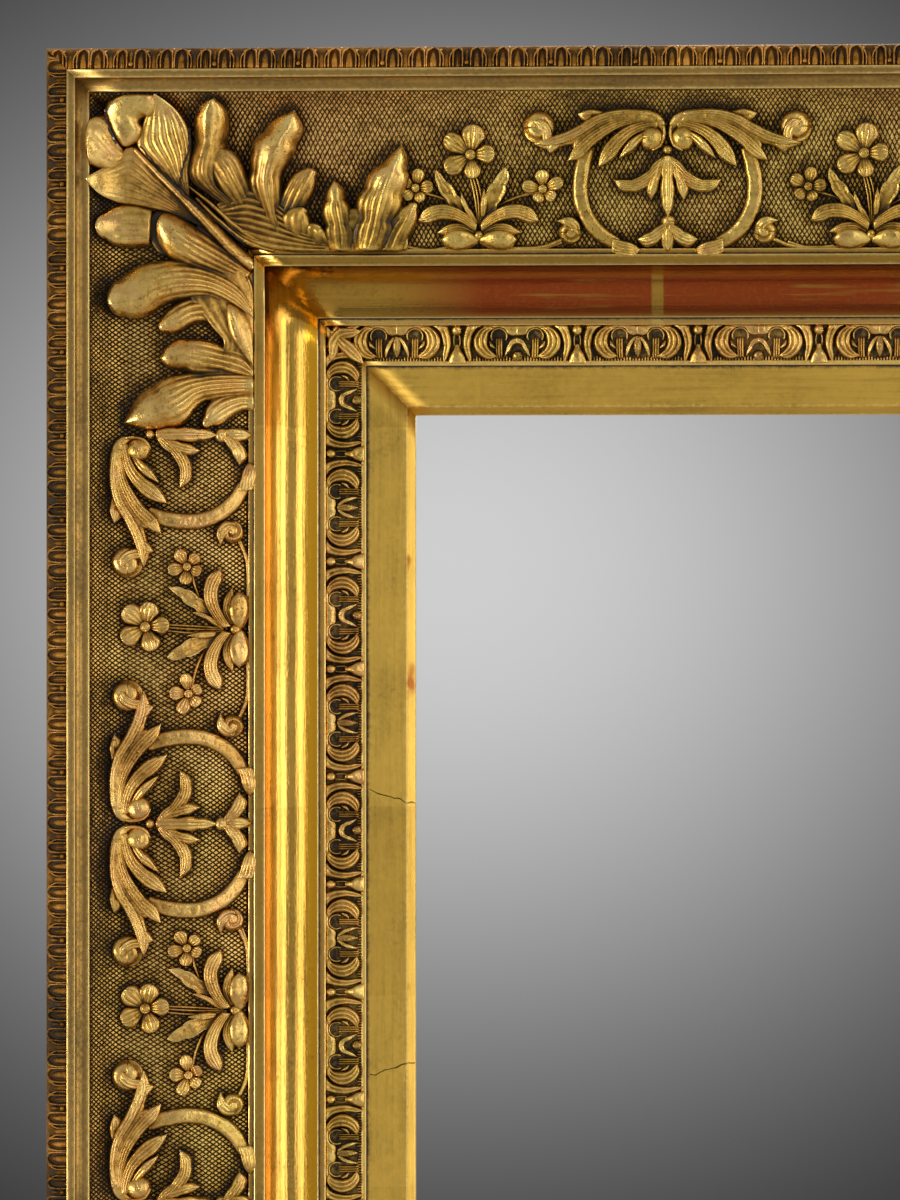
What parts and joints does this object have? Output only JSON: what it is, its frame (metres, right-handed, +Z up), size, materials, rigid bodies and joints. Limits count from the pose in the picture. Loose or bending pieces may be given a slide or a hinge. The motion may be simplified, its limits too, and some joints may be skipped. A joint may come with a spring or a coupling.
{
  "type": "gilded picture frame",
  "caption": "Empty rectangular picture frame with a wide gilded moulding: leaf edge, net-ground frieze with acanthus corners, scrolls and flower sprays, burnished cove and matt inner slip.",
  "frame": {"origin": "middle of the back face of the top rail, on the wall plane", "axes": "+X right seen from the front, +Y into the wall, +Z up"},
  "size_m": [0.83, 0.0843, 0.94],
  "materials": {
    "gilded_wood": "rubbed gilding on gesso",
    "gilded_net_ground": "matt gilding over a net texture, dark in the hollows",
    "burnished_gilding": "burnished gilding, rubbed through to red bole",
    "matt_gilding": "matt gilding",
    "gilded_composition": "gilded cast composition with dark patina",
    "softwood": "bare aged softwood",
    "hardwood": "bare hardwood",
    "brass": "aged brass",
    "steel": "dull steel"
  },
  "bodies": {
    "frame": {"back_rail_top": "softwood", "back_rail_bottom": "softwood", "back_stile_left": "softwood", "back_stile_right": "softwood", "lap_pegs": "hardwood", "edge_moulding_top": "gilded_wood", "frieze_moulding_top": "gilded_net_ground", "cove_moulding_top": "burnished_gilding", "slip_moulding_top": "matt_gilding", "edge_leaf_run_top": "gilded_composition", "sight_leaf_run_top": "gilded_composition", "scroll_cartouches_top": "gilded_composition", "flower_sprays_top": "gilded_composition", "edge_moulding_bottom": "gilded_wood", "frieze_moulding_bottom": "gilded_net_ground", "cove_moulding_bottom": "burnished_gilding", "slip_moulding_bottom": "matt_gilding", "edge_leaf_run_bottom": "gilded_composition", "sight_leaf_run_bottom": "gilded_composition", "scroll_cartouches_bottom": "gilded_composition", "flower_sprays_bottom": "gilded_composition", "edge_moulding_left": "gilded_wood", "frieze_moulding_left": "gilded_net_ground", "cove_moulding_left": "burnished_gilding", "slip_moulding_left": "matt_gilding", "edge_leaf_run_left": "gilded_composition", "sight_leaf_run_left": "gilded_composition", "scroll_cartouches_left": "gilded_composition", "flower_sprays_left": "gilded_composition", "edge_moulding_right": "gilded_wood", "frieze_moulding_right": "gilded_net_ground", "cove_moulding_right": "burnished_gilding", "slip_moulding_right": "matt_gilding", "edge_leaf_run_right": "gilded_composition", "sight_leaf_run_right": "gilded_composition", "scroll_cartouches_right": "gilded_composition", "flower_sprays_right": "gilded_composition", "sight_corner_leaves": "gilded_composition", "corner_acanthus_top_left": "gilded_composition", "corner_acanthus_top_right": "gilded_composition", "corner_acanthus_bottom_left": "gilded_composition", "corner_acanthus_bottom_right": "gilded_composition", "hanger_strap_left": "brass", "hanger_strap_right": "brass", "hanger_screws": "steel", "turn_button_screws": "steel"},
    "ring_left": {"hanger_ring_left": "brass"},
    "ring_right": {"hanger_ring_right": "brass"},
    "button_upper_left": {"turn_button_upper_left": "brass"},
    "button_upper_right": {"turn_button_upper_right": "brass"},
    "button_lower_left": {"turn_button_lower_left": "brass"},
    "button_lower_right": {"turn_button_lower_right": "brass"}
  },
  "joints": [
    {"name": "ring_left_swing", "type": "hinge", "parent": "frame", "child": "ring_left", "pos_m": [-0.337, 0.00315, -0.1758], "axis": [1, 0, 0], "range_deg": [0, 180]},
    {"name": "ring_right_swing", "type": "hinge", "parent": "frame", "child": "ring_right", "pos_m": [0.337, 0.00315, -0.1758], "axis": [1, 0, 0], "range_deg": [0, 180]},
    {"name": "button_upper_left_turn", "type": "hinge", "parent": "frame", "child": "button_upper_left", "pos_m": [-0.283, 0, -0.1852], "axis": [0, 1, 0], "continuous": true},
    {"name": "button_upper_right_turn", "type": "hinge", "parent": "frame", "child": "button_upper_right", "pos_m": [0.283, 0, -0.1852], "axis": [0, 1, 0], "continuous": true},
    {"name": "button_lower_left_turn", "type": "hinge", "parent": "frame", "child": "button_lower_left", "pos_m": [-0.283, 0, -0.5988], "axis": [0, 1, 0], "continuous": true},
    {"name": "button_lower_right_turn", "type": "hinge", "parent": "frame", "child": "button_lower_right", "pos_m": [0.283, 0, -0.5988], "axis": [0, 1, 0], "continuous": true}
  ]
}
